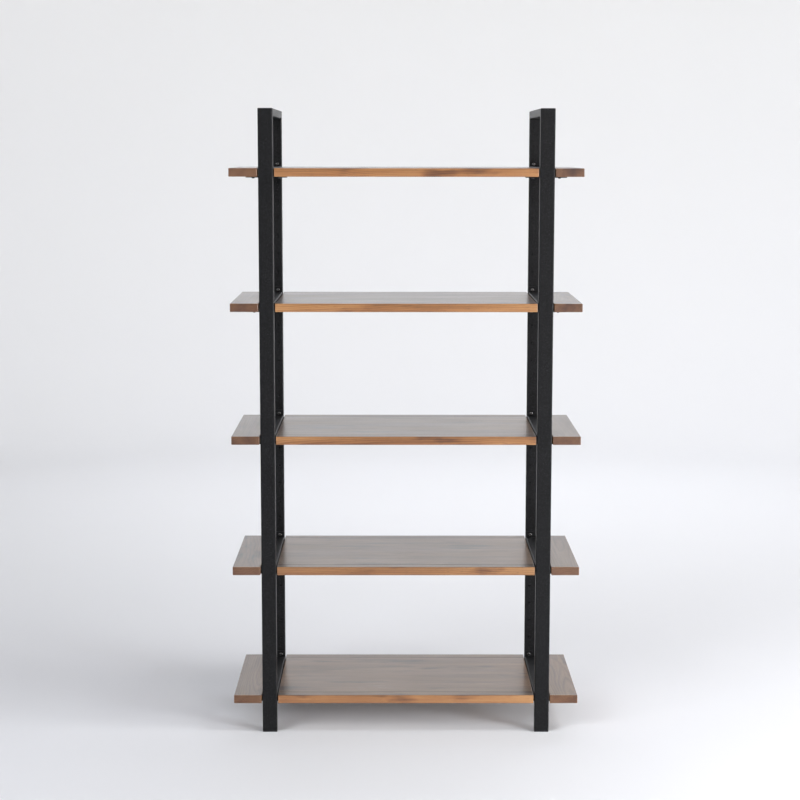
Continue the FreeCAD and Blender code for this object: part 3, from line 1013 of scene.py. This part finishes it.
@dataclass
class SideFrame:
    """One of the two upright frames: posts, top rail, foot caps and hanger studs."""

    side: str
    nodes: dict[str, bpy.types.Object]
    metal: Metalwork
    weld_inset: float = 0.004

    def build(self) -> None:
        """Dresses the frame's parts and adds its welds."""
        for end in ("front", "rear"):
            self.dress_part(f"{end}_post", self.metal.coat, "frame_paint")
            self.dress_part(f"{end}_foot_cap", self.metal.plastic, "foot_plastic")
            self.weld(end)
        self.dress_part("top_rail", self.metal.coat, "frame_paint")
        self.dress_part("hanger_studs", self.metal.stud, "stud_steel")

    def dress_part(self, part: str, material: bpy.types.Material, slot: str) -> None:
        """Finishes one part of this frame."""
        finish_piece(self.nodes[f"{self.side}_{part}"], material)

    def weld(self, end: str) -> None:
        """Lays the weld in the inner corner where the post meets the rail, with its name's length for seed.

        Args:
            end: The end of the frame, front or rear.
        """
        post = Box.of(f"{self.side}_{end}_post")
        inner = post.high[1] if end == "front" else post.low[1]
        under = Box.of(f"{self.side}_top_rail").low[2]
        start = np.array([post.low[0] + self.weld_inset, inner, under])
        finish = np.array([post.high[0] - self.weld_inset, inner, under])
        name = f"{self.side}_{end}_corner_weld"
        piece = make_piece(name, *WeldBead(start, finish).surface(seed=len(name)))
        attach(piece, "frames")
        finish_piece(piece, self.metal.coat)


@dataclass
class Shelf:
    """One shelf: five boards on two crossbars, with hanger brackets and screws."""

    number: int
    nodes: dict[str, bpy.types.Object]
    metal: Metalwork

    @property
    def body(self) -> str:
        """The body that the whole shelf moves with."""
        return f"shelf_{self.number}"

    def build(self) -> None:
        """Builds the boards and dresses the steel."""
        for place, kind in enumerate(BoardKind):
            self.board(kind, seed=self.number * len(BoardKind) + place)
        for steel in ("left_crossbar", "right_crossbar", "hanger_brackets"):
            self.dress_part(steel, self.metal.coat, "frame_paint")
        self.dress_part("wood_screws", self.metal.screw, "screw_steel")

    def dress_part(self, part: str, material: bpy.types.Material, slot: str) -> None:
        """Finishes one steel part of this shelf."""
        finish_piece(self.nodes[f"{self.body}_{part}"], material)

    def board(self, kind: BoardKind, seed: int) -> None:
        """Builds one board in place of its plain solid.

        Args:
            kind: Which board.
            seed: The board's own number.
        """
        node = f"{self.body}_{kind.value}"
        wood = BOARD_WOOD[kind]
        box = Box.of(node)
        piece = make_piece(f"{node}_timber", *Slab(box, seed).surface())
        glued = GLUED_SIDES.get(kind, ())
        light = SHELF_LIGHT[self.number] * np.random.default_rng(seed).uniform(*BOARD_LIGHT)
        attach(piece, self.body)
        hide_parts(node)
        finish_piece(piece, wood.make(node, box, float(seed), glued, light))


@dataclass(frozen=True)
class Lamp:
    """A soft box: a rectangle of light aimed at a point."""

    name: str
    place: Triple
    aim: Triple
    width: float
    height: float
    power: float
    colour: Colour = (1.0, 1.0, 1.0)

    def hang(self) -> None:
        """Puts the soft box in the scene, unseen by the camera itself."""
        light = bpy.data.lights.new(self.name, "AREA")
        light.shape = "RECTANGLE"
        light.size, light.size_y = self.width, self.height
        light.energy = self.power
        light.color = self.colour
        lamp = bpy.data.objects.new(self.name, light)
        way = Vector(self.aim) - Vector(self.place)
        lamp.location = self.place
        lamp.rotation_euler = way.to_track_quat("-Z", "Y").to_euler()
        lamp.visible_camera = False
        bpy.context.scene.collection.objects.link(lamp)


@dataclass(frozen=True)
class Studio:
    """A round white studio: floor, coved wall, soft boxes, sky and camera.

    The camera's lens is in millimetres, and its heading, tilt and roll are in radians.
    """

    radius: float = 7.6
    cove: float = 2.6
    wall_top: float = 6.5
    sky: Colour = (0.95, 0.97, 1.0)
    sky_strength: float = 0.05
    arc_points: int = 25
    around: int = 96
    lens: float = 84.80
    eye: Triple = (-0.036, -5.550, 1.686)
    heading: float = 0.00345
    tilt: float = 0.13231
    roll: float = 0.00096
    lamps: tuple[Lamp, ...] = (
        Lamp("key_soft_box", (2.84, -2.38, 2.57), (0.0, 0.0, 0.6), 1.3, 1.3, 14.0, (1.0, 0.95, 0.82)),
        Lamp("low_window", (3.80, -3.15, 1.00), (0.0, 0.0, 0.3), 1.6, 1.2, 203.0, (0.91, 0.95, 1.0)),
        Lamp("low_side", (4.6, -1.2, 0.8), (0.0, 0.0, 0.2), 1.2, 0.9, 62.0, (1.0, 0.87, 0.74)),
        Lamp("window_right", (2.93, -5.08, 1.85), (0.0, 0.0, 0.5), 2.5, 1.6, 78.0, (1.0, 0.89, 0.90)),
        Lamp("window_left", (-3.50, -4.17, 3.14), (0.0, 0.0, 0.5), 3.0, 3.0, 186.0, (0.96, 0.975, 1.0)),
        Lamp("floor_soft_box", (3.2, -1.0, 4.2), (1.6, -0.6, 0.0), 1.5, 1.5, 78.0, (0.95, 0.98, 1.0)),
        Lamp("back_floor_box", (0.8, 3.8, 3.6), (0.8, 3.8, 0.0), 5.0, 1.5, 91.0, (0.86, 0.88, 1.0)),
        Lamp("wall_soft_box", (1.0, 2.0, 4.8), (0.6, 7.5, 2.2), 5.0, 1.0, 78.0, (1.0, 0.95, 0.70)),
    )

    def build(self) -> None:
        """Builds the studio round the object."""
        self.shell()
        for lamp in self.lamps:
            lamp.hang()
        self.light_sky()
        self.set_camera()
        bpy.context.scene.view_settings.view_transform = "Standard"

    def shell(self) -> None:
        """Makes the floor and wall: one profile carried round the z axis.

        The profile runs out along the floor, up a quarter circle and up the wall. Its points are
        spaced by the sine of an even angle along the floor, so that they crowd towards the cove.
        """
        flat = self.radius - self.cove
        quarter = np.linspace(0, math.pi / 2, self.arc_points)
        out = np.concatenate(
            [flat * np.sin(quarter[1:-1]), flat + self.cove * np.sin(quarter), [self.radius]]
        )
        up = np.concatenate(
            [np.zeros(len(quarter) - 2), self.cove * (1 - np.cos(quarter)), [self.wall_top]]
        )
        angle = np.linspace(0, 2 * math.pi, self.around, endpoint=False)
        rings = np.stack(
            [out[:, None] * np.cos(angle), out[:, None] * np.sin(angle), up[:, None] + 0 * angle], -1
        )
        shell = make_piece("studio_shell", *skin_rings(rings, np.zeros(3)))
        dress(shell, StudioPaint().make())

    def light_sky(self) -> None:
        """Sets the pale light that comes in over the wall."""
        world = bpy.data.worlds.new("studio_sky")
        world.use_nodes = True
        background = world.node_tree.nodes["Background"]
        background.inputs["Color"].default_value = (*self.sky, 1.0)
        background.inputs["Strength"].default_value = self.sky_strength
        bpy.context.scene.world = world

    def set_camera(self) -> None:
        """Sets the camera at eye height before the shelves, tilted down a little."""
        data = bpy.data.cameras.new("camera")
        data.lens = self.lens
        camera = bpy.data.objects.new("camera", data)
        turned = Matrix.Rotation(-self.heading, 4, "Z")
        tilted = Matrix.Rotation(math.pi / 2 - self.tilt, 4, "X")
        rolled = Matrix.Rotation(self.roll, 4, "Z")
        camera.matrix_world = Matrix.Translation(self.eye) @ turned @ tilted @ rolled
        bpy.context.scene.collection.objects.link(camera)
        bpy.context.scene.camera = camera


def main() -> None:
    """Builds the bookcase and its studio."""
    logging.basicConfig(level=logging.INFO, format="%(message)s")
    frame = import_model()
    metal = Metalwork()
    for side in ("left", "right"):
        SideFrame(side, frame["nodes"], metal).build()
    for number in range(1, SHELF_COUNT + 1):
        Shelf(number, frame["nodes"], metal).build()
    Studio().build()


if __name__ == "__main__":
    main()
